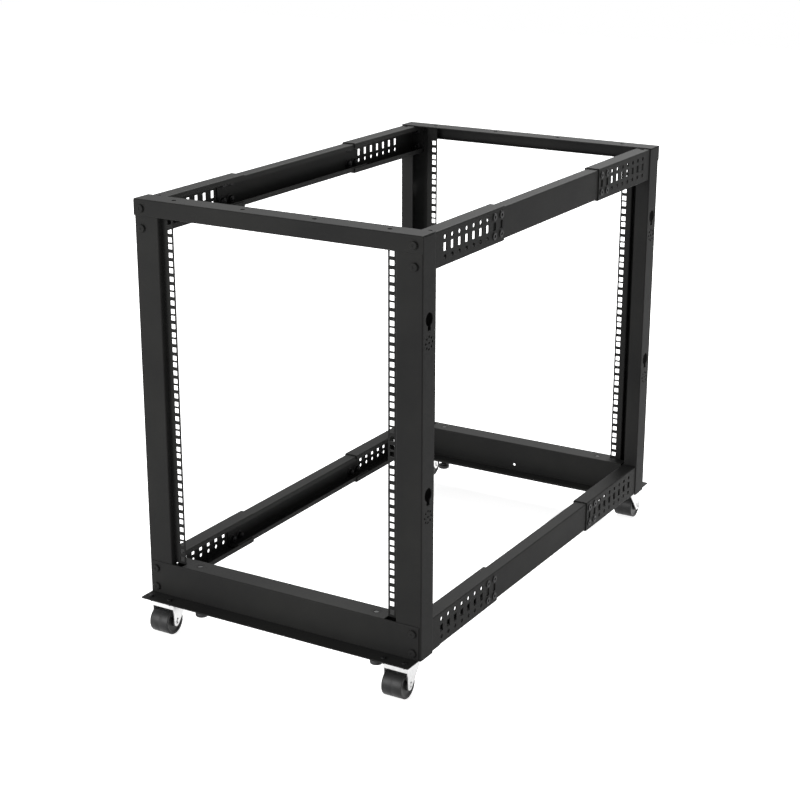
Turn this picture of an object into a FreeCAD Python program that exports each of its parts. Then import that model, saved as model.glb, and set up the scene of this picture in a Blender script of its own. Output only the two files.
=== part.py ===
import FreeCAD, Part
import Sketcher
import os

# Four post open frame rack on casters: 19 inch hole pattern, 15 units high, 965 mm between
# the front and rear rack faces.  X runs to the right, +Y to the back, +Z up, millimetres.
# The origin is on the floor under the middle of the frame; the front faces -Y.

os.makedirs("parts", exist_ok=True)
doc = FreeCAD.newDocument("open_frame_rack")

# --- driving dimensions ------------------------------------------------------------------
DRIVING = [
    ("overall_width", 600),        # over the side walls of the posts
    ("rack_depth", 965),           # front rack face to rear rack face
    ("rack_units", 15),
    ("unit_height", 44.45),        # one rack unit, three square holes
    ("hole_side", 9.5),
    ("hole_inset", 7.56),          # flange edge to the hole centres: columns 465.12 apart
    ("hole_edge", 6.35),           # unit edge to its first hole
    ("sheet", 2),                  # steel sheet of posts, beams and rails
    ("bend", 0.5),                 # inside radius of every fold
    ("deck", 72.5),                # floor to the underside of the frame, set by the casters
    ("base_height", 66),
    ("base_gap", 3.1),             # base beam to the first unit
    ("top_gap", 2.25),             # last unit to the top beam
    ("top_height", 31.4),
    ("flange_width", 25),          # rack flange with the square holes
    ("face_width", 50),            # post face beside the rack flange
    ("post_step", 13),             # post face ahead of the rack flange
    ("post_depth", 44),
    ("post_lip", 29),
    ("post_gap", 1),               # post to whatever is above it or notched round it
    ("beam_depth", 44),            # top faces of the beams
    ("top_lip", 10),
    ("lip_gap", 2),                # lip of the top beam to the posts
    ("top_hole_near", 75),         # middle to the near round holes of the top beam
    ("top_hole_edge", 75),         # beam end to its far round holes
    ("top_hole_dia", 9),
    ("base_end_gap", 4),           # base beam to the side walls of the posts
    ("foot_flange", 36.5),         # flanges of the base beam, either way
    ("foot_corner", 3),
    ("base_rail_gap", 3),          # inner side of the base beam to the lower rails
    ("notch_gap", 2),              # rack flange to the end of the notch behind it
    ("base_hole_rise", 15),        # small hole in the middle of the base beam's inner side
    ("base_hole_dia", 6),
    ("rail_depth", 32),
    ("rail_lip", 10),
    ("rail_first", 76.2),          # post end of the rail to its first hole column
    ("rail_pitch", 25.4),
    ("rail_columns", 9),
    ("rail_margin", 12.7),         # last hole column to the end of the channel
    ("rail_row_shift", 1),         # rail middle up to its row of slots, and down to its bolts
    ("rail_rise", 17.2),           # row of slots to the rows of holes above and below
    ("rail_hole_dia", 8.3),
    ("rail_slot_wide", 10),
    ("rail_slot_high", 14.6),
    ("rail_top_gap", 0.2),         # upper rail to the cover of the top beam
    ("nest_gap", 0.6),             # middle channel to the two it slides into
    ("bolt_inset", 16),            # side wall to the bolts that join beam, post and rail
    ("bolt_hole_dia", 9),
    ("bolt_rise", 18.5),
    ("spare_back", 50.9),          # post face to the spare hole in an upper rail's top
    ("key_back", 9.4),             # rack face to the keyholes of the post sides
    ("key_top", 146.1),            # frame top to the upper keyhole
    ("key_dia", 24),
    ("key_slot", 10),
    ("key_drop", 20),
    ("ring_drop", 41),             # keyhole to the hole ring under it
    ("ring_dia", 22),
    ("ring_hole", 4.5),
    ("key_repeat", 314),
    ("caster_inset", 40.8),        # side wall to the middle of the wheel
    ("axle_ahead", 8.1),           # beam face to the wheel axle
    ("wheel_dia", 50),
    ("wheel_width", 41),
    ("wheel_round", 1),
    ("hub_dia", 18),
    ("hub_gap", 0.5),              # hub end to fork leg
    ("wheel_gap", 3),              # wheel side to fork leg
    ("fork_sheet", 2),
    ("plate_width", 62),
    ("plate_length", 100),
    ("plate_back", 19.9),          # beam face to the middle of the caster plate
    ("plate_bolt_x", 43),          # spacing of the caster plate's bolts across it
    ("plate_bolt_edge", 7.1),      # front and rear edge of the caster plate to its bolts
    ("plate_hole_dia", 6),
    ("leg_front", 9),              # axle to the front of the fork
    ("leg_back", 44.75),           # axle to the far top corner of a leg
    ("leg_tip", 7.5),              # radius of the leg's end, round the axle
    ("skirt_gap", 3.4),            # top of the wheel to the fork's front edge
    ("leg_hole_dia", 4.5),         # small hole in each leg, above and behind the axle
    ("leg_hole_back", 2.5),
    ("leg_hole_rise", 6.4),
    ("axle_dia", 6),
    ("axle_head", 8),
    ("axle_head_thick", 1.5),
    ("running_gap", 0.05),         # round a turning or sliding pin
    ("foot_inset", 104),           # side wall to the levelling feet
    ("foot_low", 35.9),            # pad of a wound-up foot above the floor
    ("pad_dia", 25),
    ("pad_thick", 9),
    ("stud_dia", 10),
    ("stud_drop", 0.5),            # top of the stud under the top of the base beam
    ("nut_dia", 17.4),
    ("nut_gap", 0.4),              # nut to the hole in the beam that it stands in
    ("nut_thick", 12),
    ("nut_flange_dia", 24),        # flange welded to the underside of the beam's top
    ("nut_flange_thick", 2.5),
]

# --- positions worked out from them --------------------------------------------------------
DERIVED = [
    ("half_width", "overall_width / 2"),
    ("hole_step", "unit_height / 2 - hole_edge"),
    ("rack_face", "rack_depth / 2"),
    ("post_face", "rack_face + post_step"),
    ("beam_face", "post_face + sheet"),
    ("post_back", "post_face - post_depth"),
    ("step_x", "half_width - face_width"),
    ("flange_x", "step_x - flange_width"),
    ("hole_x", "flange_x + hole_inset"),
    ("bolt_x", "half_width - bolt_inset"),
    ("base_top", "deck + base_height"),
    ("unit_one", "base_top + base_gap"),
    ("top_low", "unit_one + rack_units * unit_height + top_gap"),
    ("frame_top", "top_low + top_height"),
    ("post_top", "frame_top - sheet - post_gap"),
    ("beam_back", "beam_face - beam_depth"),
    ("beam_middle", "beam_face - beam_depth / 2"),
    ("base_end", "half_width - base_end_gap"),
    ("rail_x", "half_width - sheet"),
    ("base_inner", "rail_x - rail_depth - base_rail_gap"),
    ("rail_height", "base_height - sheet"),
    ("upper_rail", "frame_top - sheet - rail_top_gap - rail_height / 2"),
    ("lower_rail", "deck + sheet + rail_height / 2"),
    ("upper_row", "upper_rail + rail_row_shift"),
    ("lower_row", "lower_rail + rail_row_shift"),
    ("upper_bolts", "upper_rail - rail_row_shift"),
    ("lower_bolts", "lower_rail - rail_row_shift"),
    ("rail_start", "post_face - sheet"),
    ("joint_y", "rail_start - rail_first - (rail_columns - 1) * rail_pitch"),
    ("rail_end", "joint_y - rail_margin"),
    ("middle_end", "joint_y + rail_pitch + rail_margin"),
    ("key_y", "rack_face - key_back"),
    ("key_z", "frame_top - key_top"),
    ("caster_x", "half_width - caster_inset"),
    ("axle_y", "beam_face + axle_ahead"),
    ("axle_z", "wheel_dia / 2"),
    ("fork_width", "wheel_width + 2 * wheel_gap + 2 * fork_sheet"),
    ("plate_y", "beam_face - plate_back"),
    ("plate_bolt_y", "plate_length - 2 * plate_bolt_edge"),
    ("plate_z", "deck - fork_sheet"),
    ("leg_rise", "plate_z - axle_z"),
    ("front_turn", "atan2(leg_rise; leg_front) - acos(leg_tip / hypot(leg_rise; leg_front))"),
    ("back_turn", "atan2(leg_rise; leg_back) - acos(leg_tip / hypot(leg_rise; leg_back))"),
    # where the edges of a leg meet its round end
    ("front_meet_y", "leg_tip * cos(front_turn)"),
    ("front_meet_z", "leg_tip * sin(front_turn)"),
    ("back_meet_y", "leg_tip * cos(back_turn)"),
    ("back_meet_z", "leg_tip * sin(back_turn)"),
    ("foot_x", "half_width - foot_inset"),
]

dims = doc.addObject("Spreadsheet::Sheet", "dims")
for row, (alias, value) in enumerate(DRIVING + DERIVED, start=1):
    dims.set("A%d" % row, alias)
    dims.set("B%d" % row, "=" + value if isinstance(value, str) else str(value))
    dims.setAlias("B%d" % row, alias)
doc.recompute()

SIDES = {"left": -1, "right": 1}
ENDS = {"front": -1, "rear": 1}
built = []


def tied(text, sign=1):
    """An expression on the sheet, mirrored when the sign is -1."""
    words = text.replace("(", "( ").replace(")", " )").split()
    bound = " ".join("dims." + w if w[0].isalpha() else w for w in words)
    return "%d * (%s)" % (sign, bound)


def new_body(name):
    body = doc.addObject("PartDesign::Body", name)
    body.Label = name
    built.append(body)
    return body


def new_sketch(body, name, plane, middle):
    """A sketch parallel to an origin plane, at a tied coordinate along that plane's axis."""
    face = next(f for f in body.Origin.OriginFeatures if f.Role == plane + "_Plane")
    sketch = body.newObject("Sketcher::SketchObject", body.Name + "_" + name)
    sketch.AttachmentSupport = [(face, "")]
    sketch.MapMode = "FlatFace"
    # the normal of the XZ plane points to -Y
    sketch.setExpression("AttachmentOffset.Base.z", ("-1 * " if plane == "XZ" else "") + middle)
    return sketch


def hold(sketch, geometry, point, x, y):
    """Tie one point of a sketch to the origin by two driven distances."""
    for kind, value in (("DistanceX", x), ("DistanceY", y)):
        index = sketch.addConstraint(Sketcher.Constraint(kind, -1, 1, geometry, point, 1.0))
        sketch.setExpression("Constraints[%d]" % index, value)


def polygon(sketch, corners):
    """A closed outline whose corners are pairs of expressions."""
    first = sketch.GeometryCount
    count = len(corners)
    for i in range(count):
        start = FreeCAD.Vector(1 + i, (i * i) % count, 0)
        end = FreeCAD.Vector(2 + i, (i * i) % count + 1, 0)
        sketch.addGeometry(Part.LineSegment(start, end), False)
    for i in range(count):
        sketch.addConstraint(
            Sketcher.Constraint("Coincident", first + i, 2, first + (i + 1) % count, 1))
    for i, (x, y) in enumerate(corners):
        hold(sketch, first + i, 1, x, y)


def rectangle(sketch, x0, x1, y0, y1):
    polygon(sketch, [(x0, y0), (x1, y0), (x1, y1), (x0, y1)])


def circle(sketch, x, y, dia):
    index = sketch.addGeometry(
        Part.Circle(FreeCAD.Vector(1, 1, 0), FreeCAD.Vector(0, 0, 1), 1), False)
    held = sketch.addConstraint(Sketcher.Constraint("Diameter", index, 1.0))
    sketch.setExpression("Constraints[%d]" % held, dia)
    hold(sketch, index, 3, x, y)


def feature(body, kind, name, sketch, length):
    """A pad or pocket that reaches equally to both sides of its sketch."""
    made = body.newObject("PartDesign::" + kind, body.Name + "_" + name)
    made.Profile = sketch
    made.SideType = "Symmetric"
    made.setExpression("Length", length)
    sketch.Visibility = False
    body.Tip = made
    return made


def repeat(body, name, original, axis, reverse, spacing, count):
    """Repeat a feature along one axis of the body."""
    line = next(f for f in body.Origin.OriginFeatures if f.Role == axis + "_Axis")
    made = body.newObject("PartDesign::LinearPattern", body.Name + "_" + name)
    made.Originals = [original]
    made.Direction = (line, [""])
    made.Reversed = reverse
    made.Mode = "Spacing"
    made.setExpression("Offset", spacing)
    made.setExpression("Occurrences", count)
    body.Tip = made
    return made


def round_edges(body, name, sketch, corners, radius):
    """Round the edges of the body that leave a sketch square at the numbered corners."""
    doc.recompute()
    base = body.Tip
    along = sketch.Placement.Rotation.multVec(FreeCAD.Vector(0, 0, 1))
    places = [sketch.Placement.multVec(sketch.Geometry[i].StartPoint) for i in corners]
    edges = []
    for number, edge in enumerate(base.Shape.Edges, start=1):
        ends = [v.Point for v in edge.Vertexes]
        if any(all((p - at).cross(along).Length < 1e-6 for p in ends) for at in places):
            edges.append("Edge%d" % number)
    made = body.newObject("PartDesign::Fillet", body.Name + "_" + name)
    made.Base = (base, edges)
    made.setExpression("Radius", radius)
    body.Tip = made


def fold(body, sketch, outer, inner):
    """Give the folds of a sheet section their radii, by the numbers of their corners."""
    round_edges(body, "inner_folds", sketch, inner, tied("bend"))
    round_edges(body, "outer_folds", sketch, outer, tied("bend + sheet"))


# --- posts: folded from one sheet, rack flange, step, face, side wall and lip ----------------
for end, ey in ENDS.items():
    for side, sx in SIDES.items():
        post = new_body("%s_%s_post" % (end, side))

        section = new_sketch(post, "section", "XY", tied("(deck + post_top) / 2"))
        polygon(section, [(tied(x, sx), tied(y, ey)) for x, y in [
            ("flange_x", "rack_face"),
            ("step_x - sheet", "rack_face"),
            ("step_x - sheet", "post_face"),
            ("half_width", "post_face"),
            ("half_width", "post_back"),
            ("half_width - post_lip", "post_back"),
            ("half_width - post_lip", "post_back + sheet"),
            ("half_width - sheet", "post_back + sheet"),
            ("half_width - sheet", "post_face - sheet"),
            ("step_x", "post_face - sheet"),
            ("step_x", "rack_face - sheet"),
            ("flange_x", "rack_face - sheet"),
        ]])
        feature(post, "Pad", "wall", section, tied("post_top - deck"))
        fold(post, section, outer=(2, 3, 4, 10), inner=(1, 7, 8, 9))

        # the rack flange stands on the base beam
        foot = new_sketch(post, "foot", "XZ", tied("rack_face - sheet / 2", ey))
        rectangle(foot, tied("flange_x - post_gap", sx), tied("step_x - sheet", sx),
                  tied("deck - post_gap"), tied("base_top"))
        feature(post, "Pocket", "foot_cut", foot, tied("2 * sheet"))

        # the lip stops where the side rails pass
        passage = new_sketch(post, "passage", "XZ", tied("post_back + sheet / 2", ey))
        for low, high in (("deck - post_gap", "lower_rail + rail_height / 2 + post_gap"),
                          ("upper_rail - rail_height / 2 - post_gap", "frame_top")):
            rectangle(passage, tied("half_width - post_lip - post_gap", sx),
                      tied("half_width - sheet", sx), tied(low), tied(high))
        feature(post, "Pocket", "passage_cut", passage, tied("2 * (sheet + bend)"))

        # square holes: three in each unit
        square = new_sketch(post, "square", "XZ", tied("rack_face - sheet / 2", ey))
        for step in range(3):
            hole_z = "unit_one + hole_edge + %d * hole_step" % step
            rectangle(square, tied("hole_x - hole_side / 2", sx),
                      tied("hole_x + hole_side / 2", sx),
                      tied(hole_z + " - hole_side / 2"), tied(hole_z + " + hole_side / 2"))
        unit = feature(post, "Pocket", "unit_holes", square, tied("2 * sheet"))
        repeat(post, "all_holes", unit, "Z", False, tied("unit_height"), tied("rack_units"))

        # bolts through beam, post face and rail end
        bolts = new_sketch(post, "bolts", "XZ", tied("post_face - sheet / 2", ey))
        for level in ("upper_bolts", "lower_bolts"):
            for rise in ("+ bolt_rise", "- bolt_rise"):
                circle(bolts, tied("bolt_x", sx), tied(level + " " + rise), tied("bolt_hole_dia"))
        feature(post, "Pocket", "bolt_holes", bolts, tied("2 * sheet"))

        # two groups on the side wall: a keyhole, and a ring of eight holes round a ninth
        keys = new_sketch(post, "keys", "YZ", tied("half_width - sheet / 2", sx))
        circle(keys, tied("key_y", ey), tied("key_z"), tied("key_dia"))
        key = feature(post, "Pocket", "key_round", keys, tied("2 * sheet"))
        repeat(post, "key_rounds", key, "Z", True, tied("key_repeat"), "2")
        slots = new_sketch(post, "slots", "YZ", tied("half_width - sheet / 2", sx))
        rectangle(slots, tied("key_y - key_slot / 2", ey), tied("key_y + key_slot / 2", ey),
                  tied("key_z - key_drop"), tied("key_z"))
        slot = feature(post, "Pocket", "key_slot", slots, tied("2 * sheet"))
        repeat(post, "key_slots", slot, "Z", True, tied("key_repeat"), "2")
        ring = new_sketch(post, "ring", "YZ", tied("half_width - sheet / 2", sx))
        circle(ring, tied("key_y", ey), tied("key_z - ring_drop"), tied("ring_hole"))
        for turn in range(0, 360, 45):
            circle(ring, tied("key_y", ey) + " + dims.ring_dia / 2 * cos(%d deg)" % turn,
                   tied("key_z - ring_drop") + " + dims.ring_dia / 2 * sin(%d deg)" % turn,
                   tied("ring_hole"))
        holes = feature(post, "Pocket", "ring_holes", ring, tied("2 * sheet"))
        repeat(post, "rings", holes, "Z", True, tied("key_repeat"), "2")

# --- cross beams ---------------------------------------------------------------------------
for end, ey in ENDS.items():
    # top beam: a shallow channel that caps the two posts
    beam = new_body("top_%s_beam" % end)
    section = new_sketch(beam, "section", "YZ", "0")
    polygon(section, [(tied(y, ey), tied(z)) for y, z in [
        ("beam_face", "top_low"),
        ("beam_face", "frame_top"),
        ("beam_back", "frame_top"),
        ("beam_back", "frame_top - sheet"),
        ("beam_face - sheet", "frame_top - sheet"),
        ("beam_face - sheet", "top_low + sheet"),
        ("beam_face - top_lip", "top_low + sheet"),
        ("beam_face - top_lip", "top_low"),
    ]])
    feature(beam, "Pad", "channel", section, tied("overall_width"))
    fold(beam, section, outer=(0, 1), inner=(4, 5))
    clear = new_sketch(beam, "clear", "XY", tied("top_low + sheet / 2"))
    cover = new_sketch(beam, "cover", "XY", tied("frame_top - sheet / 2"))
    bolts = new_sketch(beam, "bolts", "XZ", tied("beam_face - sheet / 2", ey))
    for sx in SIDES.values():
        rectangle(clear, tied("step_x - sheet - lip_gap", sx), tied("half_width + post_gap", sx),
                  tied("beam_face - sheet", ey), tied("beam_face - top_lip - post_gap", ey))
        for reach in ("top_hole_near", "half_width - top_hole_edge"):
            circle(cover, tied(reach, sx), tied("beam_middle", ey), tied("top_hole_dia"))
        circle(bolts, tied("bolt_x", sx), tied("upper_bolts + bolt_rise"), tied("bolt_hole_dia"))
    feature(beam, "Pocket", "lip_ends", clear, tied("2 * (sheet + bend)"))
    feature(beam, "Pocket", "cover_holes", cover, tied("2 * sheet"))
    feature(beam, "Pocket", "bolt_holes", bolts, tied("2 * sheet"))

    # base beam: a hat section with a wide flange either way
    beam = new_body("bottom_%s_beam" % end)
    section = new_sketch(beam, "section", "YZ", "0")
    polygon(section, [(tied(y, ey), tied(z)) for y, z in [
        ("beam_face + foot_flange", "deck"),
        ("beam_face + foot_flange", "deck + sheet"),
        ("beam_face", "deck + sheet"),
        ("beam_face", "base_top"),
        ("beam_back", "base_top"),
        ("beam_back", "deck + sheet"),
        ("beam_back - foot_flange", "deck + sheet"),
        ("beam_back - foot_flange", "deck"),
        ("beam_back + sheet", "deck"),
        ("beam_back + sheet", "base_top - sheet"),
        ("beam_face - sheet", "base_top - sheet"),
        ("beam_face - sheet", "deck"),
    ]])
    feature(beam, "Pad", "hat", section, tied("2 * base_end"))
    fold(beam, section, outer=(3, 4, 8, 11), inner=(2, 5, 9, 10))
    ends = new_sketch(beam, "ends", "XY", tied("deck + sheet + base_height / 2"))
    corners = new_sketch(beam, "corners", "XY", tied("deck + sheet / 2"))
    notch = new_sketch(beam, "notch", "XY", tied("base_top - sheet / 2"))
    stud = new_sketch(beam, "stud", "XY", tied("base_top - sheet / 2"))
    foot = new_sketch(beam, "foot", "XY", tied("deck + sheet / 2"))
    bolts = new_sketch(beam, "bolts", "XZ", tied("beam_face - sheet / 2", ey))
    middle = new_sketch(beam, "middle", "XZ", tied("beam_back + sheet / 2", ey))
    for sx in SIDES.values():
        rectangle(ends, tied("base_inner", sx), tied("half_width + post_gap", sx),
                  tied("beam_face - sheet", ey),
                  tied("beam_back - foot_flange - post_gap", ey))
        rectangle(notch, tied("flange_x - post_gap", sx), tied("half_width + post_gap", sx),
                  tied("beam_face - sheet", ey), tied("rack_face - sheet - notch_gap", ey))
        circle(stud, tied("foot_x", sx), tied("beam_middle", ey),
               tied("nut_dia + 2 * nut_gap"))
        for across in ("- plate_bolt_x / 2", "+ plate_bolt_x / 2"):
            for along in ("- plate_bolt_y / 2", "+ plate_bolt_y / 2"):
                circle(foot, tied("caster_x " + across, sx), tied("plate_y " + along, ey),
                       tied("plate_hole_dia"))
        for rise in ("+ bolt_rise", "- bolt_rise"):
            circle(bolts, tied("bolt_x", sx), tied("lower_bolts " + rise), tied("bolt_hole_dia"))
    circle(middle, "0", tied("deck + base_hole_rise"), tied("base_hole_dia"))
    feature(beam, "Pocket", "ends_cut", ends, tied("base_height"))
    # corners of the outer flange, then of the inner one
    for edge in ("beam_face + foot_flange", "beam_back - foot_flange"):
        for sx in SIDES.values():
            mark = corners.addGeometry(Part.Point(FreeCAD.Vector(1, 1, 0)), True)
            hold(corners, mark, 1, tied("base_end", sx), tied(edge, ey))
    doc.recompute()
    tip = beam.Tip
    spots = [corners.Placement.multVec(FreeCAD.Vector(g.X, g.Y, 0)) for g in corners.Geometry]
    upright = ["Edge%d" % n for n, e in enumerate(tip.Shape.Edges, start=1)
               if any(all(FreeCAD.Vector(v.X - p.x, v.Y - p.y, 0).Length < 1e-6
                          for v in e.Vertexes) for p in spots)]
    soft = beam.newObject("PartDesign::Fillet", beam.Name + "_flange_corners")
    soft.Base = (tip, upright)
    soft.setExpression("Radius", tied("foot_corner"))
    beam.Tip = soft
    feature(beam, "Pocket", "post_notches", notch, tied("2 * (sheet + bend)"))
    feature(beam, "Pocket", "stud_holes", stud, tied("2 * sheet"))
    feature(beam, "Pocket", "caster_holes", foot, tied("2 * sheet"))
    feature(beam, "Pocket", "bolt_holes", bolts, tied("2 * sheet"))
    feature(beam, "Pocket", "middle_hole", middle, tied("2 * sheet"))

# --- side rails: two perforated end channels bolted over a middle one ------------------------
for level in ("upper", "lower"):
    centre = level + "_rail"
    row = level + "_row"
    for side, sx in SIDES.items():
        for end, ey in ENDS.items():
            rail = new_body("%s_%s_rail_%s" % (level, side, end))
            half = " rail_height / 2"
            section = new_sketch(rail, "section", "XZ", tied("(rail_start + rail_end) / 2", ey))
            polygon(section, [(tied(x, sx), tied(centre + z)) for x, z in [
                ("rail_x", " -" + half),
                ("rail_x", " +" + half),
                ("rail_x - rail_depth", " +" + half),
                ("rail_x - rail_depth", " +" + half + " - rail_lip"),
                ("rail_x - rail_depth + sheet", " +" + half + " - rail_lip"),
                ("rail_x - rail_depth + sheet", " +" + half + " - sheet"),
                ("rail_x - sheet", " +" + half + " - sheet"),
                ("rail_x - sheet", " -" + half + " + sheet"),
                ("rail_x - rail_depth + sheet", " -" + half + " + sheet"),
                ("rail_x - rail_depth + sheet", " -" + half + " + rail_lip"),
                ("rail_x - rail_depth", " -" + half + " + rail_lip"),
                ("rail_x - rail_depth", " -" + half),
            ]])
            feature(rail, "Pad", "channel", section, tied("rail_start - rail_end"))
            fold(rail, section, outer=(0, 1, 2, 11), inner=(5, 6, 7, 8))
            # the tab that is bolted to the post, folded from the web
            tab = new_sketch(rail, "tab", "XZ", tied("rail_start - sheet / 2", ey))
            flat = "rail_height / 2 - bend - sheet"
            rectangle(tab, tied("rail_x - rail_depth", sx), tied("rail_x", sx),
                      tied("%s - (%s)" % (centre, flat)), tied("%s + %s" % (centre, flat)))
            feature(rail, "Pad", "end_tab", tab, tied("sheet"))
            crease = new_sketch(rail, "crease", "XY", tied(centre))
            polygon(crease, [(tied(x, sx), tied(y, ey)) for x, y in [
                ("rail_x - bend", "rail_start"),
                ("rail_x", "rail_start"),
                ("rail_x", "rail_start - bend"),
            ]])
            feature(rail, "Pocket", "crease_cut", crease, tied("rail_height"))

            column = new_sketch(rail, "column", "YZ", tied("rail_x - sheet / 2", sx))
            first = "rail_start - rail_first"
            for rise in ("+ rail_rise", "- rail_rise"):
                circle(column, tied(first, ey), tied(row + " " + rise), tied("rail_hole_dia"))
            rectangle(column, tied(first + " - rail_slot_wide / 2", ey),
                      tied(first + " + rail_slot_wide / 2", ey),
                      tied(row + " - rail_slot_high / 2"),
                      tied(row + " + rail_slot_high / 2"))
            holes = feature(rail, "Pocket", "column_holes", column, tied("2 * sheet"))
            repeat(rail, "columns", holes, "Y", ey > 0, tied("rail_pitch"), tied("rail_columns"))

            bolts = new_sketch(rail, "bolts", "XZ", tied("rail_start - sheet / 2", ey))
            for rise in ("+ bolt_rise", "- bolt_rise"):
                circle(bolts, tied("bolt_x", sx), tied(level + "_bolts " + rise),
                       tied("bolt_hole_dia"))
            feature(rail, "Pocket", "bolt_holes", bolts, tied("2 * sheet"))

            # upper rails have a spare hole on top, lower ones take a caster bolt
            if level == "upper":
                spot = new_sketch(rail, "spot", "XY", tied(centre + " + (rail_height - sheet) / 2"))
                circle(spot, tied("bolt_x", sx), tied("post_face - spare_back", ey),
                       tied("bolt_hole_dia"))
            else:
                spot = new_sketch(rail, "spot", "XY", tied(centre + " - (rail_height - sheet) / 2"))
                circle(spot, tied("caster_x + plate_bolt_x / 2", sx),
                       tied("plate_y - plate_bolt_y / 2", ey), tied("plate_hole_dia"))
            feature(rail, "Pocket", "spot_hole", spot, tied("2 * sheet"))

        rail = new_body("%s_%s_rail_middle" % (level, side))
        half = " (rail_height / 2 - sheet - nest_gap)"
        section = new_sketch(rail, "section", "XZ", "0")
        polygon(section, [(tied(x, sx), tied(centre + z)) for x, z in [
            ("rail_x - sheet", " -" + half),
            ("rail_x - sheet", " +" + half),
            ("rail_x - rail_depth + sheet + nest_gap", " +" + half),
            ("rail_x - rail_depth + sheet + nest_gap", " +" + half + " - rail_lip"),
            ("rail_x - rail_depth + 2 * sheet + nest_gap", " +" + half + " - rail_lip"),
            ("rail_x - rail_depth + 2 * sheet + nest_gap", " +" + half + " - sheet"),
            ("rail_x - 2 * sheet", " +" + half + " - sheet"),
            ("rail_x - 2 * sheet", " -" + half + " + sheet"),
            ("rail_x - rail_depth + 2 * sheet + nest_gap", " -" + half + " + sheet"),
            ("rail_x - rail_depth + 2 * sheet + nest_gap", " -" + half + " + rail_lip"),
            ("rail_x - rail_depth + sheet + nest_gap", " -" + half + " + rail_lip"),
            ("rail_x - rail_depth + sheet + nest_gap", " -" + half),
        ]])
        feature(rail, "Pad", "channel", section, tied("2 * middle_end"))
        fold(rail, section, outer=(0, 1, 2, 11), inner=(5, 6, 7, 8))
        joint = new_sketch(rail, "joint", "YZ", tied("rail_x - 1.5 * sheet", sx))
        for ey in ENDS.values():
            for step in range(2):
                for rise in ("+ rail_rise", "- rail_rise"):
                    circle(joint, tied("joint_y + %d * rail_pitch" % step, ey),
                           tied(row + " " + rise), tied("rail_hole_dia"))
        feature(rail, "Pocket", "joint_holes", joint, tied("2 * sheet"))

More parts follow.
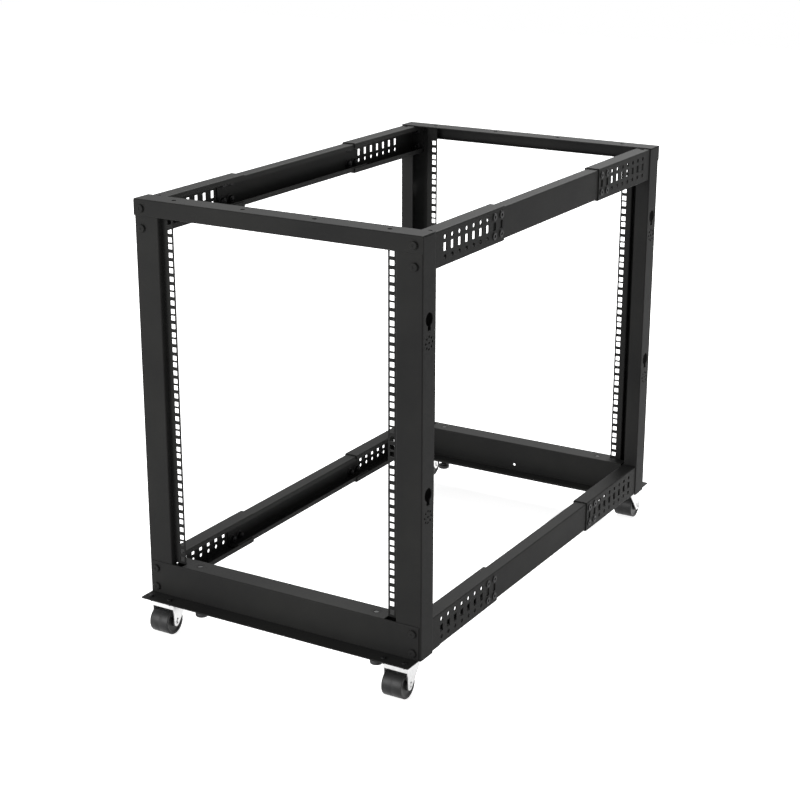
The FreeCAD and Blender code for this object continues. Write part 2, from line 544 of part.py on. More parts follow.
# --- casters and levelling feet, one of each under every corner ------------------------------
for end, ey in ENDS.items():
    for side, sx in SIDES.items():
        # fork: mounting plate, two legs and the front skirt between them
        fork = new_body("%s_%s_caster_fork" % (end, side))
        plate = new_sketch(fork, "plate", "XY", tied("deck - fork_sheet / 2"))
        rectangle(plate, tied("caster_x - plate_width / 2", sx),
                  tied("caster_x + plate_width / 2", sx),
                  tied("plate_y - plate_length / 2", ey), tied("plate_y + plate_length / 2", ey))
        feature(fork, "Pad", "top_plate", plate, tied("fork_sheet"))
        for name, reach in (("near", "-"), ("far", "+")):
            at = tied("caster_x %s (fork_width - fork_sheet) / 2" % reach, sx)
            leg = new_sketch(fork, name + "_leg", "YZ", at)
            polygon(leg, [
                (tied("axle_y + leg_front", ey), tied("plate_z")),
                (tied("axle_y + front_meet_y", ey), tied("axle_z + front_meet_z")),
                (tied("axle_y - back_meet_y", ey), tied("axle_z + back_meet_z")),
                (tied("axle_y - leg_back", ey), tied("plate_z")),
            ])
            feature(fork, "Pad", name + "_wall", leg, tied("fork_sheet"))
            tip = new_sketch(fork, name + "_tip", "YZ", at)
            circle(tip, tied("axle_y", ey), tied("axle_z"), tied("2 * leg_tip"))
            feature(fork, "Pad", name + "_end", tip, tied("fork_sheet"))
        skirt = new_sketch(fork, "skirt", "XZ", tied("axle_y + leg_front - fork_sheet / 2", ey))
        rectangle(skirt, tied("caster_x - fork_width / 2", sx),
                  tied("caster_x + fork_width / 2", sx),
                  tied("wheel_dia + skirt_gap"), tied("plate_z"))
        feature(fork, "Pad", "front_skirt", skirt, tied("fork_sheet"))
        bore = new_sketch(fork, "bore", "YZ", tied("caster_x", sx))
        circle(bore, tied("axle_y", ey), tied("axle_z"), tied("axle_dia"))
        circle(bore, tied("axle_y - leg_hole_back", ey), tied("axle_z + leg_hole_rise"),
               tied("leg_hole_dia"))
        feature(fork, "Pocket", "leg_bores", bore, tied("fork_width + 2 * fork_sheet"))
        bolts = new_sketch(fork, "bolts", "XY", tied("deck - fork_sheet / 2"))
        for across in ("- plate_bolt_x / 2", "+ plate_bolt_x / 2"):
            for along in ("- plate_bolt_y / 2", "+ plate_bolt_y / 2"):
                circle(bolts, tied("caster_x " + across, sx), tied("plate_y " + along, ey),
                       tied("plate_hole_dia"))
        feature(fork, "Pocket", "bolt_holes", bolts, tied("2 * fork_sheet"))

        # wheel: tyre and hub in one moulding, turning on the axle
        wheel = new_body("%s_%s_caster_wheel" % (end, side))
        tread = new_sketch(wheel, "tread", "YZ", tied("caster_x", sx))
        circle(tread, tied("axle_y", ey), tied("axle_z"), tied("wheel_dia"))
        rim = feature(wheel, "Pad", "tyre", tread, tied("wheel_width"))
        doc.recompute()
        soft = wheel.newObject("PartDesign::Fillet", wheel.Name + "_soft")
        soft.Base = (rim, ["Edge%d" % n for n, e in enumerate(rim.Shape.Edges, start=1)
                           if isinstance(e.Curve, Part.Circle)])
        soft.setExpression("Radius", tied("wheel_round"))
        wheel.Tip = soft
        boss = new_sketch(wheel, "boss", "YZ", tied("caster_x", sx))
        circle(boss, tied("axle_y", ey), tied("axle_z"), tied("hub_dia"))
        feature(wheel, "Pad", "hub", boss, tied("fork_width - 2 * fork_sheet - 2 * hub_gap"))
        bore = new_sketch(wheel, "bore", "YZ", tied("caster_x", sx))
        circle(bore, tied("axle_y", ey), tied("axle_z"), tied("axle_dia + 2 * running_gap"))
        feature(wheel, "Pocket", "axle_bore", bore, tied("fork_width"))

        # axle: a plain pin riveted over outside each leg
        axle = new_body("%s_%s_caster_axle" % (end, side))
        pin = new_sketch(axle, "pin", "YZ", tied("caster_x", sx))
        circle(pin, tied("axle_y", ey), tied("axle_z"), tied("axle_dia"))
        feature(axle, "Pad", "shaft", pin, tied("fork_width + 2 * axle_head_thick"))
        for name, reach in (("near", "-"), ("far", "+")):
            at = tied("caster_x %s (fork_width + axle_head_thick) / 2" % reach, sx)
            cap = new_sketch(axle, name + "_cap", "YZ", at)
            circle(cap, tied("axle_y", ey), tied("axle_z"), tied("axle_head"))
            feature(axle, "Pad", name + "_head", cap, tied("axle_head_thick"))

        # levelling foot: pad and stud in one, wound through a nut in the base beam's top
        foot = new_body("%s_%s_levelling_foot" % (end, side))
        pad = new_sketch(foot, "pad", "XY", tied("foot_low + pad_thick / 2"))
        circle(pad, tied("foot_x", sx), tied("beam_middle", ey), tied("pad_dia"))
        feature(foot, "Pad", "disc", pad, tied("pad_thick"))
        stud = new_sketch(foot, "stud", "XY", tied("(foot_low + base_top - stud_drop) / 2"))
        circle(stud, tied("foot_x", sx), tied("beam_middle", ey), tied("stud_dia"))
        feature(foot, "Pad", "rod", stud, tied("base_top - stud_drop - foot_low"))

        # its nut: a barrel flush with the beam, flanged where it is welded underneath
        nut = new_body("%s_%s_foot_nut" % (end, side))
        for name, middle, dia, thick in (
                ("barrel", "base_top - nut_thick / 2", "nut_dia", "nut_thick"),
                ("flange", "base_top - sheet - nut_flange_thick / 2", "nut_flange_dia",
                 "nut_flange_thick")):
            ring = new_sketch(nut, name + "_ring", "XY", tied(middle))
            circle(ring, tied("foot_x", sx), tied("beam_middle", ey), tied(dia))
            feature(nut, "Pad", name, ring, tied(thick))
        thread = new_sketch(nut, "thread", "XY", tied("base_top - nut_thick / 2"))
        circle(thread, tied("foot_x", sx), tied("beam_middle", ey),
               tied("stud_dia + 2 * running_gap"))
        feature(nut, "Pocket", "bore", thread, tied("2 * nut_thick"))

# --- check and write -----------------------------------------------------------------------
doc.recompute()
for item in doc.Objects:
    if "Invalid" in item.State or "Error" in item.State:
        raise RuntimeError("%s is %s" % (item.Label, item.State))
for body in built:
    if body.Shape.isNull() or not body.Shape.isValid() or len(body.Shape.Solids) != 1:
        raise RuntimeError("%s has no single valid solid" % body.Label)
    body.Shape.exportStep("parts/%s.step" % body.Label)
    box = body.Shape.optimalBoundingBox()
    print("%-28s x %7.1f %7.1f  y %7.1f %7.1f  z %6.1f %6.1f  %6.1f cm3" % (
        body.Label, box.XMin, box.XMax, box.YMin, box.YMax, box.ZMin, box.ZMax,
        body.Shape.Volume / 1000))
print(len(built), "nodes")
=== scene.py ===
import math
import bmesh
import bpy
from mathutils import Matrix, Vector


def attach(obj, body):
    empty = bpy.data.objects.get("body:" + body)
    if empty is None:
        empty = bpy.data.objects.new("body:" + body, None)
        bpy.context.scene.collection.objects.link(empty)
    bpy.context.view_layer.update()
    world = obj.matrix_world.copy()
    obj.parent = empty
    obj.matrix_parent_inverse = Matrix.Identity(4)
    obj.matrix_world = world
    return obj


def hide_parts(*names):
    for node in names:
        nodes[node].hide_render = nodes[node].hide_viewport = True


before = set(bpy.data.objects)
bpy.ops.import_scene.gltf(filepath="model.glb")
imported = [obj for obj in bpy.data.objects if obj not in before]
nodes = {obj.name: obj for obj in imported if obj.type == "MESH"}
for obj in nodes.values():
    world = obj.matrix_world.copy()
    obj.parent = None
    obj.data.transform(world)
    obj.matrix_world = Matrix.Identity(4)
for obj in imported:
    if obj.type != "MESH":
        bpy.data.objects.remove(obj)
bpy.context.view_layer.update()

ends = {"front": -1, "rear": 1}
sides = {"left": -1, "right": 1}

# --- Posts, cross beams and side rails ---------------------------------------------------------
# The load-bearing frame: 2 mm steel sheet, punched and folded on a press brake, then powder
# coated in satin black. The coat is baked on over every edge and hole, so all of it reads as one
# even, very dark grey with a soft sheen and a faint orange-peel ripple.


def linear(hex_colour):
    """An sRGB hex colour as the linear RGBA that the shader sockets take."""
    parts = [int(hex_colour[i:i + 2], 16) / 255 for i in (1, 3, 5)]
    return [p / 12.92 if p <= 0.04045 else ((p + 0.055) / 1.055) ** 2.4 for p in parts] + [1.0]


def node(tree, kind, links=(), **settings):
    """Adds one node. Settings name its inputs or properties, and links feed its inputs."""
    made = tree.nodes.new(kind)
    for key, value in settings.items():
        if key in made.inputs:
            made.inputs[key].default_value = value
        else:
            setattr(made, key, value)
    for target, source in dict(links).items():
        tree.links.new(source, made.inputs[target])
    return made


def blank(name):
    """An empty node material and its output."""
    made = bpy.data.materials.new(name)
    made.use_nodes = True
    made.node_tree.nodes.clear()
    return made, made.node_tree, made.node_tree.nodes.new("ShaderNodeOutputMaterial")


def per_metre(millimetres):
    """Pattern scale that repeats about every so many millimetres on object coordinates."""
    return 1000 / millimetres


# Satin black powder coat. Polyester resin is a plain dielectric, IOR 1.5, at a roughness near
# one half; the flow ripple is 2 to 3 mm across, with a grit of 0.5 mm drawn at 0.8 mm so that it
# shows. Matting agents in the resin take most of the surface gloss, so the specular level is low
# and grazing faces stay dark.
powder, tree, out = blank("black_powder_coat")
place = node(tree, "ShaderNodeTexCoord")
ripple = node(tree, "ShaderNodeTexNoise", {"Vector": place.outputs["Object"]},
              Scale=per_metre(2.6), Detail=2.0, Roughness=0.45)
grit = node(tree, "ShaderNodeTexNoise", {"Vector": place.outputs["Object"]},
            Scale=per_metre(0.8), Detail=1.0, Roughness=0.5)
cloud = node(tree, "ShaderNodeTexNoise", {"Vector": place.outputs["Object"]},
             Scale=per_metre(140), Detail=3.0, Roughness=0.55)
shade = node(tree, "ShaderNodeValToRGB", {"Fac": cloud.outputs["Fac"]})
shade.color_ramp.elements[0].position = 0.30
shade.color_ramp.elements[0].color = linear("#282828")
shade.color_ramp.elements[1].position = 0.70
shade.color_ramp.elements[1].color = linear("#2e2e2d")
sheen = node(tree, "ShaderNodeMapRange", {"Value": ripple.outputs["Fac"]})
sheen.inputs["To Min"].default_value = 0.44
sheen.inputs["To Max"].default_value = 0.56
low = node(tree, "ShaderNodeBump", {"Height": ripple.outputs["Fac"]},
           Strength=0.06, Distance=0.0004)
fine = node(tree, "ShaderNodeBump",
            {"Height": grit.outputs["Fac"], "Normal": low.outputs["Normal"]},
            Strength=0.05, Distance=0.0002)
coat = node(tree, "ShaderNodeBsdfPrincipled",
            {"Base Color": shade.outputs["Color"], "Roughness": sheen.outputs["Result"],
             "Normal": fine.outputs["Normal"]})
coat.inputs["IOR"].default_value = 1.5
coat.inputs["Specular IOR Level"].default_value = 0.04
tree.links.new(coat.outputs["BSDF"], out.inputs["Surface"])


def dress(name, material):
    """Gives one solid of the frame its material."""
    nodes[name].data.materials.clear()
    nodes[name].data.materials.append(material)


for name in nodes:
    if name.endswith(("_post", "_beam")) or "_rail_" in name:
        dress(name, powder)

# --- Frame bolts -------------------------------------------------------------------------------
# M8 screws, four through each corner post: two hold the top beam, post and upper rail together,
# and two the base beam, post and lower rail. Their low round heads are coated like the frame; the
# threads and the flange nuts inside are blackened steel.


def turned(mesh, profile, count=32):
    """Sweeps a profile of (radius, height) round Z and returns its rings of vertices."""
    rings = []
    for radius, height in profile:
        if radius == 0:
            rings.append([mesh.verts.new((0, 0, height))])
        else:
            rings.append([mesh.verts.new((radius * math.cos(2 * math.pi * i / count),
                                          radius * math.sin(2 * math.pi * i / count), height))
                          for i in range(count)])
    for a, b in zip(rings, rings[1:]):
        for i in range(count):
            j = (i + 1) % count
            around = [a[i % len(a)], a[j % len(a)], b[j % len(b)], b[i % len(b)]]
            mesh.faces.new(list(dict.fromkeys(around)))
    return rings


def hexagon(radius_across, angle):
    """Distance from the middle of a hexagon to its edge at an angle; sized over its flats."""
    folded = (angle % (math.pi / 3)) - math.pi / 6
    return radius_across / math.cos(folded)


def piece(name, mesh, material, body):
    """Turns a bmesh into a named piece with its material, riding on a body."""
    sharp_from = math.radians(40)
    bmesh.ops.recalc_face_normals(mesh, faces=mesh.faces)
    data = bpy.data.meshes.new(name)
    mesh.to_mesh(data)
    mesh.free()
    made = bpy.data.objects.new(name, data)
    bpy.context.scene.collection.objects.link(made)
    data.materials.append(material)
    for face in data.polygons:
        face.use_smooth = True
    data.set_sharp_from_angle(angle=sharp_from)
    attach(made, body)
    return made


def facing(direction, at):
    """Matrix that stands a piece built along Z on a point, looking in a direction."""
    return Matrix.Translation(at) @ Vector(direction).to_track_quat("Z", "X").to_matrix().to_4x4()


def round_head(radius, height, socket, depth):
    """Flat-faced round head with a rolled edge and a hexagon socket; the seat is at height 0."""
    mesh = bmesh.new()
    count, steps = 48, 6
    face, wall = 0.86, 0.70  # shares of the radius and height where the rolled edge starts
    profile = [(radius * 0.97, 0), (radius, height * 0.06)]
    for step in range(1, steps + 1):
        turn = math.radians(90) * step / (steps + 1)
        profile.append((radius * (face + (1 - face) * math.cos(turn)),
                        height * (wall + (1 - wall) * math.sin(turn))))
    rings = turned(mesh, profile + [(socket * 0.66, height)], count)
    mesh.faces.new(list(reversed(rings[0])))
    walls = []
    for level, share in ((height - 0.0001, 1.0), (height - depth, 0.98)):
        ring = []
        for i in range(count):
            angle = 2 * math.pi * i / count
            reach = hexagon(socket / 2 * share, angle)
            ring.append(mesh.verts.new((reach * math.cos(angle), reach * math.sin(angle), level)))
        walls.append(ring)
    for a, b in ((rings[-1], walls[0]), (walls[0], walls[1])):
        for i in range(count):
            j = (i + 1) % count
            mesh.faces.new((a[i], a[j], b[j], b[i]))
    mesh.faces.new(walls[1])
    return mesh


def flange_nut(flange, across, height, bore):
    """Hexagon nut on a flange, with chamfered corners; the seat is at height 0."""
    mesh = bmesh.new()
    count, uncut = 48, math.inf
    rings = []
    for share, level in ((1.0, 0), (1.0, 0.10), (0.80, 0.24)):
        rings.append([mesh.verts.new((flange * share * math.cos(2 * math.pi * i / count),
                                      flange * share * math.sin(2 * math.pi * i / count),
                                      height * level)) for i in range(count)])
    for limit, level in ((uncut, 0.26), (uncut, 0.90), (across / 2 * 1.01, 1.0)):
        ring = []
        for i in range(count):
            angle = 2 * math.pi * i / count
            reach = min(hexagon(across / 2, angle), limit)
            ring.append(mesh.verts.new((reach * math.cos(angle), reach * math.sin(angle),
                                        height * level)))
        rings.append(ring)
    for level in (1.0, 0.0):
        rings.append([mesh.verts.new((bore * math.cos(2 * math.pi * i / count),
                                      bore * math.sin(2 * math.pi * i / count),
                                      height * level)) for i in range(count)])
    for a, b in zip(rings, rings[1:] + rings[:1]):
        for i in range(count):
            j = (i + 1) % count
            mesh.faces.new((a[i], a[j], b[j], b[i]))
    return mesh


def threaded_rod(radius, pitch, length, start=0.0):
    """Rod along Z with a cut thread of the given pitch, ends closed."""
    mesh = bmesh.new()
    count, rows_a_turn = 24, 4
    deep = 0.61  # depth of the thread as a share of its pitch
    rows = int(length / pitch * rows_a_turn)
    rings = []
    for row in range(rows + 1):
        height = start + length * row / rows
        ring = []
        for i in range(count):
            phase = (height / pitch - i / count) % 1.0
            cut = deep * pitch * abs(2 * phase - 1)
            if row in (0, rows):
                cut = deep * pitch
            angle = 2 * math.pi * i / count
            ring.append(mesh.verts.new(((radius - cut) * math.cos(angle),
                                        (radius - cut) * math.sin(angle), height)))
        rings.append(ring)
    for a, b in zip(rings, rings[1:]):
        for i in range(count):
            j = (i + 1) % count
            mesh.faces.new((a[i], a[j], b[j], b[i]))
    mesh.faces.new(list(reversed(rings[0])))
    mesh.faces.new(rings[-1])
    return mesh


# Blackened steel: an oily oxide film that reads as darker than the coat and a little glossier,
# with a grain of 1.2 mm that is rubbed paler where it stands high.
black_steel, tree, out = blank("blackened_steel")
place = node(tree, "ShaderNodeTexCoord")
grain = node(tree, "ShaderNodeTexNoise", {"Vector": place.outputs["Object"]},
             Scale=per_metre(1.2), Detail=3.0, Roughness=0.6)
film = node(tree, "ShaderNodeValToRGB", {"Fac": grain.outputs["Fac"]})
film.color_ramp.elements[0].color = linear("#121213")
film.color_ramp.elements[1].color = linear("#1c1c1d")
gloss = node(tree, "ShaderNodeMapRange", {"Value": grain.outputs["Fac"]})
gloss.inputs["To Min"].default_value = 0.36
gloss.inputs["To Max"].default_value = 0.50
nick = node(tree, "ShaderNodeBump", {"Height": grain.outputs["Fac"]},
            Strength=0.08, Distance=0.0002)
steel = node(tree, "ShaderNodeBsdfPrincipled",
             {"Base Color": film.outputs["Color"], "Roughness": gloss.outputs["Result"],
              "Normal": nick.outputs["Normal"]})
steel.inputs["IOR"].default_value = 1.5
steel.inputs["Specular IOR Level"].default_value = 0.15
tree.links.new(steel.outputs["BSDF"], out.inputs["Surface"])

bolt_x, bolt_rise = 0.284, 0.0185
beam_face, post_face, tab_back = 0.4975, 0.4955, 0.4915
m8_radius, m8_pitch = 0.0040, 0.00125
m8_nut = (0.0085, 0.0130, 0.0078, 0.0041)  # flange radius, across flats, height, bore radius
m8_tail = 0.0095  # from the nut's seat to the end of the thread
for end, ey in ends.items():
    for side, sx in sides.items():
        for level, middle in (("upper", 0.8068), ("lower", 0.1055)):
            for place_name, rise in (("high", bolt_rise), ("low", -bolt_rise)):
                # the top beam is too shallow for the lower screw of a top corner
                seat = post_face if (level, place_name) == ("upper", "low") else beam_face
                at = Vector((sx * bolt_x, ey * seat, middle + rise))
                name = "%s_%s_%s_%s" % (end, side, level, place_name)
                head = round_head(0.0072, 0.0042, 0.0040, 0.0008)
                head.transform(facing((0, ey, 0), at))
                piece(name + "_screw_head", head, powder, "frame")
                shank = threaded_rod(m8_radius, m8_pitch, seat - tab_back + m8_tail)
                shank.transform(facing((0, -ey, 0), at))
                piece(name + "_screw_thread", shank, black_steel, "frame")
                nut = flange_nut(*m8_nut)
                nut.transform(facing((0, -ey, 0), Vector((at.x, ey * tab_back, at.z))))
                piece(name + "_flange_nut", nut, black_steel, "frame")

# --- Rail joint screws -------------------------------------------------------------------------
# Four low-head M8 screws with flange nuts pin each end channel of a rail to the middle channel
# nested in it; undoing them lets the frame be set deeper or shallower. Blackened steel.

rail_face, nest_face, row_rise = 0.298, 0.294, 0.0172
for level, middle in (("upper", 0.8088), ("lower", 0.1075)):
    for end, ey in ends.items():
        for side, sx in sides.items():
            for column, along in (("first", 0.2141), ("second", 0.2395)):
                for row, rise in (("high", row_rise), ("low", -row_rise)):
                    name = "%s_%s_%s_rail_%s_%s" % (level, side, end, column, row)
                    here = Vector((0, ey * along, middle + rise))
                    head = round_head(0.0070, 0.0018, 0.0050, 0.0015)
                    head.transform(facing((sx, 0, 0), here + Vector((sx * rail_face, 0, 0))))
                    piece(name + "_screw_head", head, black_steel, "frame")
                    nut = flange_nut(*m8_nut)
                    nut.transform(facing((-sx, 0, 0), here + Vector((sx * nest_face, 0, 0))))
                    piece(name + "_flange_nut", nut, black_steel, "frame")
                    shank = threaded_rod(m8_radius, m8_pitch, rail_face - nest_face + m8_tail)
                    shank.transform(facing((-sx, 0, 0), here + Vector((sx * rail_face, 0, 0))))
                    piece(name + "_screw_thread", shank, black_steel, "frame")

# --- Casters -----------------------------------------------------------------------------------
# Fixed casters, one under each corner: a fork pressed from 2 mm steel and bright zinc plated, a
# wheel of solid moulded rubber, and an axle pin riveted over outside both legs. Each fork plate is
# held to the base flanges by four M5 pan-head screws from above, with nuts under the plate.

# Bright zinc plate: a metal, so its colour is its mirror tint, at a roughness of about a third. The
# plate grows in soft spangles some 4 mm across, over rolling lines of the sheet about 0.7 mm apart.
zinc, tree, out = blank("zinc_plated_steel")
place = node(tree, "ShaderNodeTexCoord")
stretch = node(tree, "ShaderNodeMapping", {"Vector": place.outputs["Object"]})
stretch.inputs["Scale"].default_value = (1.0, 0.06, 1.0)
lines = node(tree, "ShaderNodeTexNoise", {"Vector": stretch.outputs["Vector"]},
             Scale=per_metre(0.7), Detail=2.0, Roughness=0.5)
spangle = node(tree, "ShaderNodeTexNoise", {"Vector": place.outputs["Object"]},
               Scale=per_metre(4), Detail=3.0, Roughness=0.6)
tint = node(tree, "ShaderNodeValToRGB", {"Fac": spangle.outputs["Fac"]})
tint.color_ramp.elements[0].position = 0.25
tint.color_ramp.elements[0].color = linear("#c1c1c1")
tint.color_ramp.elements[1].position = 0.75
tint.color_ramp.elements[1].color = linear("#d4d4d4")
polish = node(tree, "ShaderNodeMapRange", {"Value": spangle.outputs["Fac"]})
polish.inputs["To Min"].default_value = 0.26
polish.inputs["To Max"].default_value = 0.42
rolled = node(tree, "ShaderNodeBump", {"Height": lines.outputs["Fac"]},
              Strength=0.08, Distance=0.0001)
plated = node(tree, "ShaderNodeBsdfPrincipled",
              {"Base Color": tint.outputs["Color"], "Roughness": polish.outputs["Result"],
               "Normal": rolled.outputs["Normal"]})
plated.inputs["Metallic"].default_value = 1.0
tree.links.new(plated.outputs["BSDF"], out.inputs["Surface"])

# Moulded rubber: dark grey, IOR 1.5, half matt. A fine mould grain of 1 mm and a soft cloud of
# bloom keep the tread from looking like painted metal.
rubber, tree, out = blank("moulded_rubber")
place = node(tree, "ShaderNodeTexCoord")
pores = node(tree, "ShaderNodeTexNoise", {"Vector": place.outputs["Object"]},
             Scale=per_metre(1.0), Detail=3.0, Roughness=0.6)
bloom = node(tree, "ShaderNodeTexNoise", {"Vector": place.outputs["Object"]},
             Scale=per_metre(12), Detail=2.0, Roughness=0.5)
grey = node(tree, "ShaderNodeValToRGB", {"Fac": bloom.outputs["Fac"]})
grey.color_ramp.elements[0].position = 0.30
grey.color_ramp.elements[0].color = linear("#191919")
grey.color_ramp.elements[1].position = 0.70
grey.color_ramp.elements[1].color = linear("#202021")
skin = node(tree, "ShaderNodeBump", {"Height": pores.outputs["Fac"]},
            Strength=0.12, Distance=0.0002)
tyre = node(tree, "ShaderNodeBsdfPrincipled",
            {"Base Color": grey.outputs["Color"], "Normal": skin.outputs["Normal"]})
tyre.inputs["Roughness"].default_value = 0.42
tyre.inputs["IOR"].default_value = 1.5
tyre.inputs["Specular IOR Level"].default_value = 0.3
tree.links.new(tyre.outputs["BSDF"], out.inputs["Surface"])


def pan_head(radius, height):
    """Pan head with a cross recess, seat at height 0."""
    mesh = bmesh.new()
    count, steps = 32, 6
    face, wall = 0.62, 0.35  # shares of the radius and height where the round edge starts
    profile = [(radius, 0)]
    for step in range(steps + 1):
        turn = math.radians(90) * step / steps
        profile.append((radius * (face + (1 - face) * math.cos(turn)),
                        height * (wall + (1 - wall) * math.sin(turn))))
    rings = turned(mesh, profile, count)
    mesh.faces.new(list(reversed(rings[0])))
    walls = []
    for level, share in ((height, 1.0), (height * 0.45, 0.55)):
        ring = []
        for i in range(count):
            angle = 2 * math.pi * i / count
            arm = abs(math.cos(2 * angle)) ** 6
            reach = radius * (0.16 + 0.34 * arm) * share
            ring.append(mesh.verts.new((reach * math.cos(angle), reach * math.sin(angle), level)))
        walls.append(ring)
    for a, b in ((rings[-1], walls[0]), (walls[0], walls[1])):
        for i in range(count):
            j = (i + 1) % count
            mesh.faces.new((a[i], a[j], b[j], b[i]))
    mesh.faces.new(walls[1])
    return mesh


caster_x, axle_y, axle_z = 0.2592, 0.5056, 0.0250
wheel_radius, wheel_half, hub_half, wheel_count = 0.0250, 0.0205, 0.0230, 96
rivet_radius, out_leg, dome = 0.0040, 0.0255, 0.0015
plate_under = 0.0705
m5_radius, m5_pitch = 0.0025, 0.0008
m5_nut = (0.0044, 0.0080, 0.0040, 0.0026)  # flange radius, across flats, height, bore radius
m5_tail = 0.0058  # from the nut's seat to the end of the thread
# across, along and seat height: the last screw also holds the lower rail, so it stands on that
plate_screws = ((-0.0215, 0.5205, 0.0745), (0.0215, 0.5205, 0.0745),
                (-0.0215, 0.4347, 0.0745), (0.0215, 0.4347, 0.0765))
for end, ey in ends.items():
    for side, sx in sides.items():
        corner = "%s_%s" % (end, side)
        dress(corner + "_caster_fork", zinc)
        middle = Vector((sx * caster_x, ey * axle_y, axle_z))

        # wheel: flat tread with a mould seam and rounded shoulders, dished sides, and a hub that
        # stands proud; points of radius and half width, from the bore out
        half = [(0.0031, hub_half), (0.0082, hub_half), (0.0088, hub_half - 0.0005),
                (0.0090, hub_half - 0.0012), (0.0092, wheel_half - 0.0016),
                (0.0106, wheel_half - 0.0020), (0.0180, wheel_half - 0.0020),
                (0.0194, wheel_half - 0.0014), (0.0203, wheel_half - 0.0002),
                (0.0209, wheel_half), (wheel_radius - 0.0010, wheel_half),
                (wheel_radius - 0.0005, wheel_half - 0.00013),
                (wheel_radius - 0.00013, wheel_half - 0.0005),
                (wheel_radius, wheel_half - 0.0010), (wheel_radius, 0.0004),
                (wheel_radius - 0.00007, 0.0001)]
        profile = half + [(r, -h) for r, h in reversed(half)]
        mesh = bmesh.new()
        rings = turned(mesh, profile, wheel_count)
        for i in range(wheel_count):
            j = (i + 1) % wheel_count
            mesh.faces.new((rings[-1][i], rings[-1][j], rings[0][j], rings[0][i]))
        mesh.transform(facing((sx, 0, 0), middle))
        wheel = piece(corner + "_wheel_tyre", mesh, rubber, corner + "_wheel")
        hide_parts(corner + "_caster_wheel")

        # axle: pin with a drilled end and a domed rivet head at each side
        half = [(0, out_leg - 0.0040), (0.0019, out_leg - 0.0036), (0.0020, out_leg + dome * 0.80)]
        for step in range(3, 6):
            turn = math.radians(90) * step / 6
            half.append((rivet_radius * math.sin(turn), out_leg + dome * math.cos(turn)))
        half += [(rivet_radius, out_leg), (0.0030, out_leg)]
        mesh = bmesh.new()
        turned(mesh, half + [(r, -h) for r, h in reversed(half)], 32)
        mesh.transform(facing((sx, 0, 0), middle))
        pin = piece(corner + "_axle_rivet", mesh, zinc, "frame")
        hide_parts(corner + "_caster_axle")

        for number, (across, along, seat) in enumerate(plate_screws, start=1):
            at = Vector((sx * (caster_x + across), ey * along, seat))
            head = pan_head(0.0046, 0.0031)
            head.transform(facing((0, 0, 1), at))
            piece("%s_plate_screw_%d" % (corner, number), head, black_steel, "frame")
            shank = threaded_rod(m5_radius, m5_pitch, seat - plate_under + m5_tail)
            shank.transform(facing((0, 0, -1), at))
            piece("%s_plate_thread_%d" % (corner, number), shank, black_steel, "frame")
            nut = flange_nut(*m5_nut)
            nut.transform(facing((0, 0, -1), Vector((at.x, at.y, plate_under))))
            piece("%s_plate_nut_%d" % (corner, number), nut, zinc, "frame")

# --- Levelling feet ----------------------------------------------------------------------------
# Beside each caster a foot screws down to steady the rack: an M10 stud with a round pad at its
# lower end, both of blackened steel, wound through a weld nut that is coated along with the base
# beam.

# Blackened steel of the feet: a thicker, duller film than on the screws, a little paler, IOR 1.5
# for its oil, with an etched grain of about 1 mm.
foot_black, tree, out = blank("blackened_foot_steel")
place = node(tree, "ShaderNodeTexCoord")
etch = node(tree, "ShaderNodeTexNoise", {"Vector": place.outputs["Object"]},
            Scale=per_metre(1.0), Detail=2.0, Roughness=0.6)
black = node(tree, "ShaderNodeValToRGB", {"Fac": etch.outputs["Fac"]})
black.color_ramp.elements[0].color = linear("#1c1c1d")
black.color_ramp.elements[1].color = linear("#262627")
rough = node(tree, "ShaderNodeBump", {"Height": etch.outputs["Fac"]},
             Strength=0.12, Distance=0.0002)
oiled = node(tree, "ShaderNodeBsdfPrincipled",
             {"Base Color": black.outputs["Color"], "Normal": rough.outputs["Normal"]})
oiled.inputs["Roughness"].default_value = 0.5
oiled.inputs["IOR"].default_value = 1.5
oiled.inputs["Specular IOR Level"].default_value = 0.4
tree.links.new(oiled.outputs["BSDF"], out.inputs["Surface"])

foot_x, foot_y = 0.1960, 0.4755
pad_low, pad_high, pad_radius = 0.0359, 0.0449, 0.0125
stud_radius, stud_pitch, stud_low, stud_top = 0.0050, 0.0015, pad_high + 0.0030, 0.1380
for end, ey in ends.items():
    for side, sx in sides.items():
        corner = "%s_%s" % (end, side)
        at = Vector((sx * foot_x, ey * foot_y, 0))
        mesh = threaded_rod(stud_radius, stud_pitch, stud_top - stud_low, start=stud_low)
        # pad: flat sole, rounded foot and rim, and a low collar round the stud
        turned(mesh, [(0, pad_low), (pad_radius - 0.0030, pad_low),
                      (pad_radius - 0.0012, pad_low + 0.0003),
                      (pad_radius - 0.0003, pad_low + 0.0012), (pad_radius, pad_low + 0.0026),
                      (pad_radius, pad_high - 0.0020), (pad_radius - 0.0005, pad_high - 0.0006),
                      (pad_radius - 0.0018, pad_high), (0.0075, pad_high),
                      (0.0070, pad_high + 0.0022), (0.0062, pad_high + 0.0031),
                      (0, pad_high + 0.0031)], 48)
        mesh.transform(Matrix.Translation(at))
        foot = piece(corner + "_foot_pad_and_stud", mesh, foot_black, corner + "_foot")
        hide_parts(corner + "_levelling_foot")
        dress(corner + "_foot_nut", powder)

# --- Floor, light and camera -------------------------------------------------------------------
# A plain white studio: a broad soft lamp above and behind the rack, a weaker low one at the front
# left, and a dim even fill. Floor and surroundings look the same white to the camera and in
# reflections; the floor still keeps the soft shadow under the rack.


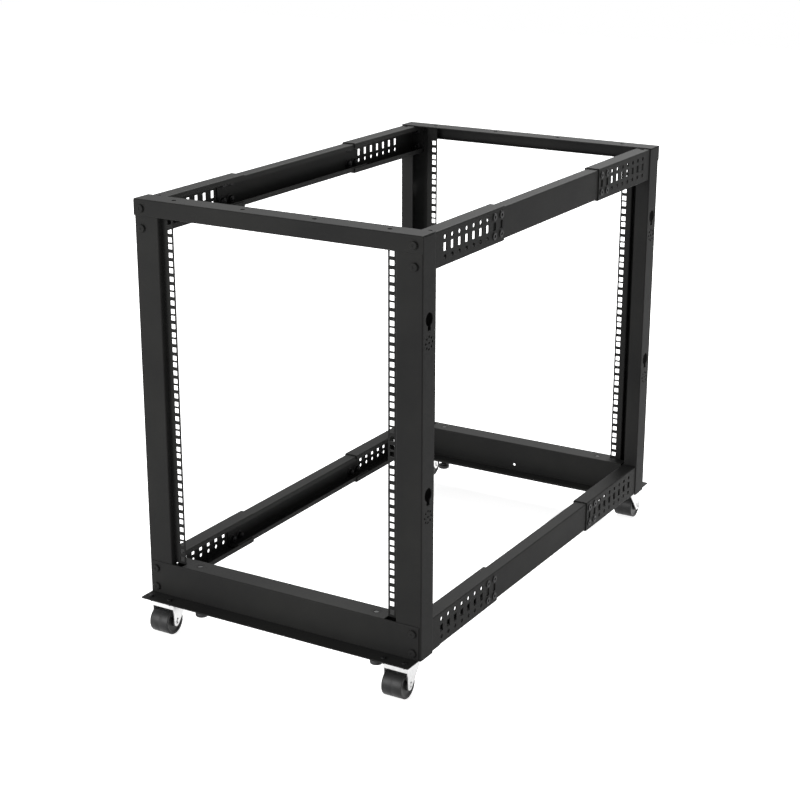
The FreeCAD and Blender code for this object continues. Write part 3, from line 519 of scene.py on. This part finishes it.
def seen(tree):
    """1 for rays from the camera, mirrors and glass, and 0 for the rays that light things."""
    path = node(tree, "ShaderNodeLightPath")
    first = node(tree, "ShaderNodeMath", {0: path.outputs["Is Camera Ray"],
                                          1: path.outputs["Is Glossy Ray"]}, operation="MAXIMUM")
    return node(tree, "ShaderNodeMath", {0: first.outputs["Value"],
                                         1: path.outputs["Is Transmission Ray"]},
                operation="MAXIMUM").outputs["Value"]


floor_white, tree, out = blank("studio_floor")
paper = node(tree, "ShaderNodeBsdfDiffuse", Color=linear("#e8e8e8"))
glow = node(tree, "ShaderNodeMath", {0: seen(tree)}, operation="MULTIPLY")
glow.inputs[1].default_value = 0.82
lift = node(tree, "ShaderNodeEmission", {"Strength": glow.outputs["Value"]})
both = node(tree, "ShaderNodeAddShader", {0: paper.outputs["BSDF"], 1: lift.outputs["Emission"]})
tree.links.new(both.outputs["Shader"], out.inputs["Surface"])

mesh = bmesh.new()
floor_half = 9
mesh.faces.new([mesh.verts.new((x * floor_half, y * floor_half, 0))
                for x, y in ((-1, -1), (1, -1), (1, 1), (-1, 1))])
data = bpy.data.meshes.new("studio_floor")
mesh.to_mesh(data)
mesh.free()
floor = bpy.data.objects.new("studio_floor", data)
bpy.context.scene.collection.objects.link(floor)
data.materials.append(floor_white)

world = bpy.data.worlds.new("studio")
bpy.context.scene.world = world
world.use_nodes = True
tree = world.node_tree
tree.nodes.clear()
level = node(tree, "ShaderNodeMapRange", {"Value": seen(tree)})
level.inputs["To Min"].default_value = 0.24
level.inputs["To Max"].default_value = 1.0
sky = node(tree, "ShaderNodeBackground", {"Strength": level.outputs["Result"]})
sky.inputs["Color"].default_value = (1, 1, 1, 1)
tree.links.new(sky.outputs["Background"],
               node(tree, "ShaderNodeOutputWorld").inputs["Surface"])

for name, at, width, watts in (("soft_box_left", (-2.0, -4.4, 1.5), 2.6, 140),
                               ("soft_box_behind", (-0.4, 3.6, 4.6), 2.6, 440)):
    lamp = bpy.data.lights.new(name, "AREA")
    lamp.shape = "SQUARE"
    lamp.size = width
    lamp.energy = watts
    stand = bpy.data.objects.new(name, lamp)
    bpy.context.scene.collection.objects.link(stand)
    aim = Vector((0, 0, 0.45)) - Vector(at)
    stand.matrix_world = Matrix.Translation(at) @ aim.to_track_quat("-Z", "Y").to_matrix().to_4x4()

# a long lens at the front right, a little above the rack, looking down on it
lens = bpy.data.cameras.new("camera")
lens.sensor_width, lens.lens = 36.0, 79.37
lens.clip_start, lens.clip_end = 0.05, 60.0
camera = bpy.data.objects.new("camera", lens)
bpy.context.scene.collection.objects.link(camera)
ahead = Vector((-0.48322, 0.81821, -0.31151))
camera.matrix_world = (Matrix.Translation((1.70243, -2.9437, 1.4853))
                       @ ahead.to_track_quat("-Z", "Y").to_matrix().to_4x4()
                       @ Matrix.Rotation(math.radians(0.0796), 4, "Z"))
bpy.context.scene.camera = camera
bpy.context.scene.view_settings.view_transform = "Standard"
